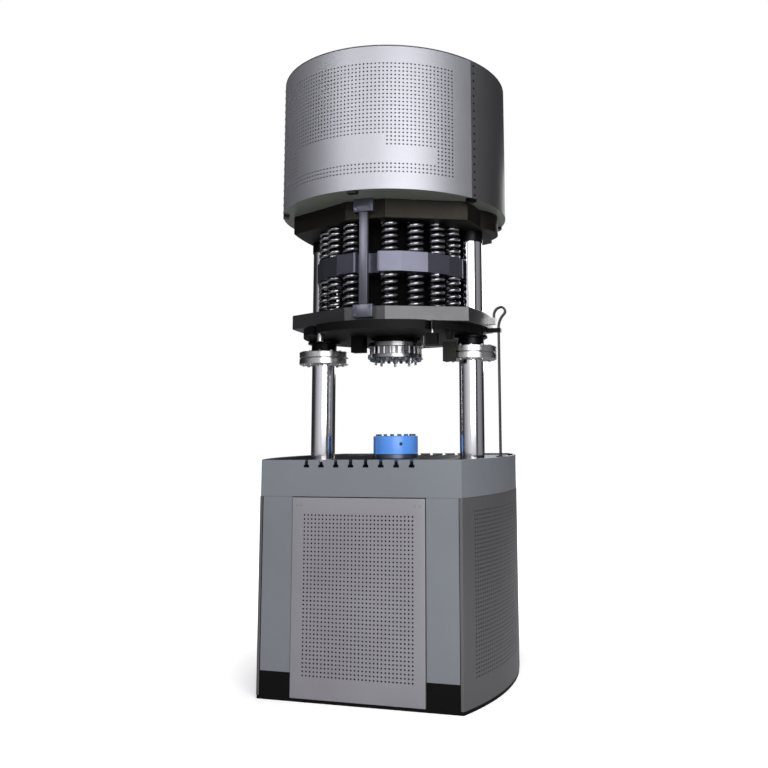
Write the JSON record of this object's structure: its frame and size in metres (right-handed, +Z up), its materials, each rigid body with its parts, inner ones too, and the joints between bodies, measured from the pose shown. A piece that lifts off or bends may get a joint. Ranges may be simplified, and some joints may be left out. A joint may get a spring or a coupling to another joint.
{
  "type": "resonance fatigue testing rig",
  "caption": "Floor-standing resonance test rig: two columns carry a travelling crosshead with a spring-borne resonating plate, hooded exciter, grip and load cell over a slotted table.",
  "frame": {"origin": "on the floor, on the vertical load axis midway between the columns", "axes": "+Z up along the load axis, X through both columns, the front of the cabinet faces -Y"},
  "size_m": [1.319, 1.27, 3.265],
  "materials": {
    "cabinet_paint": "satin blue-grey powder coat",
    "panel_paint": "satin silver powder coat on perforated sheet",
    "hood_paint": "satin silver powder coat",
    "hood_cap_paint": "matt dark paint",
    "black_paint": "semi-matt black",
    "table_steel": "dark, machined",
    "yoke_steel": "blued steel, semi-gloss",
    "tie_steel": "blued steel, satin",
    "chrome": "hard chrome, ground",
    "bush_black": "black oxide",
    "bright_steel": "turned",
    "screw_steel": "zinc plated",
    "black_screw": "black oxide",
    "spring_black": "gloss black",
    "cell_blue": "gloss blue",
    "cell_base_steel": "turned",
    "rubber": "matt"
  },
  "bodies": {
    "base": {"air_mounts": "rubber", "cabinet_frame": "black_paint", "column_left": "chrome", "column_nuts": "bright_steel", "column_right": "chrome", "corner_strips": "cabinet_paint", "door_fasteners": "screw_steel", "floor_plate": "black_paint", "front_door": "panel_paint", "hose_grommet": "rubber", "load_cell": "cell_blue", "load_cell_base": "cell_base_steel", "load_cell_screws": "black_screw", "machine_bed": "black_paint", "pedestals": "black_paint", "plinth_blocks": "black_paint", "rear_door": "panel_paint", "side_panel_left": "panel_paint", "side_panel_right": "panel_paint", "table_deck": "black_paint", "top_band": "cabinet_paint", "tslot_table": "table_steel"},
    "crosshead": {"lower_yoke": "yoke_steel", "under_plate": "black_paint", "upper_yoke": "yoke_steel", "lower_bushes": "bush_black", "upper_bushes": "bush_black", "clamp_rings_right": "bright_steel", "clamp_rings_left": "bright_steel", "clamp_screws": "screw_steel", "tie_bars": "tie_steel", "tie_blocks": "tie_steel", "springs_lower": "spring_black", "springs_upper": "spring_black", "exciter_magnet": "black_paint", "hood_floor": "hood_paint", "hood_cap": "hood_cap_paint", "hood_front_shell": "hood_paint", "hood_rear_shell": "hood_paint", "hood_screws": "black_screw", "clamp_manifold": "black_paint", "hood_clips": "black_paint", "cable_cover": "yoke_steel", "limit_switch": "black_paint", "hanging_rods": "bright_steel", "stop_knob": "black_paint", "clamp_pipe": "bright_steel", "sensor_housing": "black_paint", "hose_a": "rubber", "hose_b": "rubber", "hose_clip": "rubber", "hose_fittings": "bright_steel"},
    "resonator": {"resonator_plate": "yoke_steel", "resonator_shaft": "chrome", "shaft_nuts": "bright_steel", "grip_adapter": "black_paint", "grip_head": "bright_steel", "grip_screws": "screw_steel", "grip_studs": "screw_steel", "exciter_mass": "black_paint"}
  },
  "joints": [
    {"name": "crosshead_lift", "type": "slide", "parent": "base", "child": "crosshead", "axis": [0, 0, 1], "range_m": [-0.3, 0.35]},
    {"name": "resonator_travel", "type": "slide", "parent": "crosshead", "child": "resonator", "axis": [0, 0, 1], "range_m": [-0.005, 0.005], "stiffness_N_per_m": 30000000, "springref_m": 0.0005, "deforming": ["springs_lower", "springs_upper"]}
  ]
}
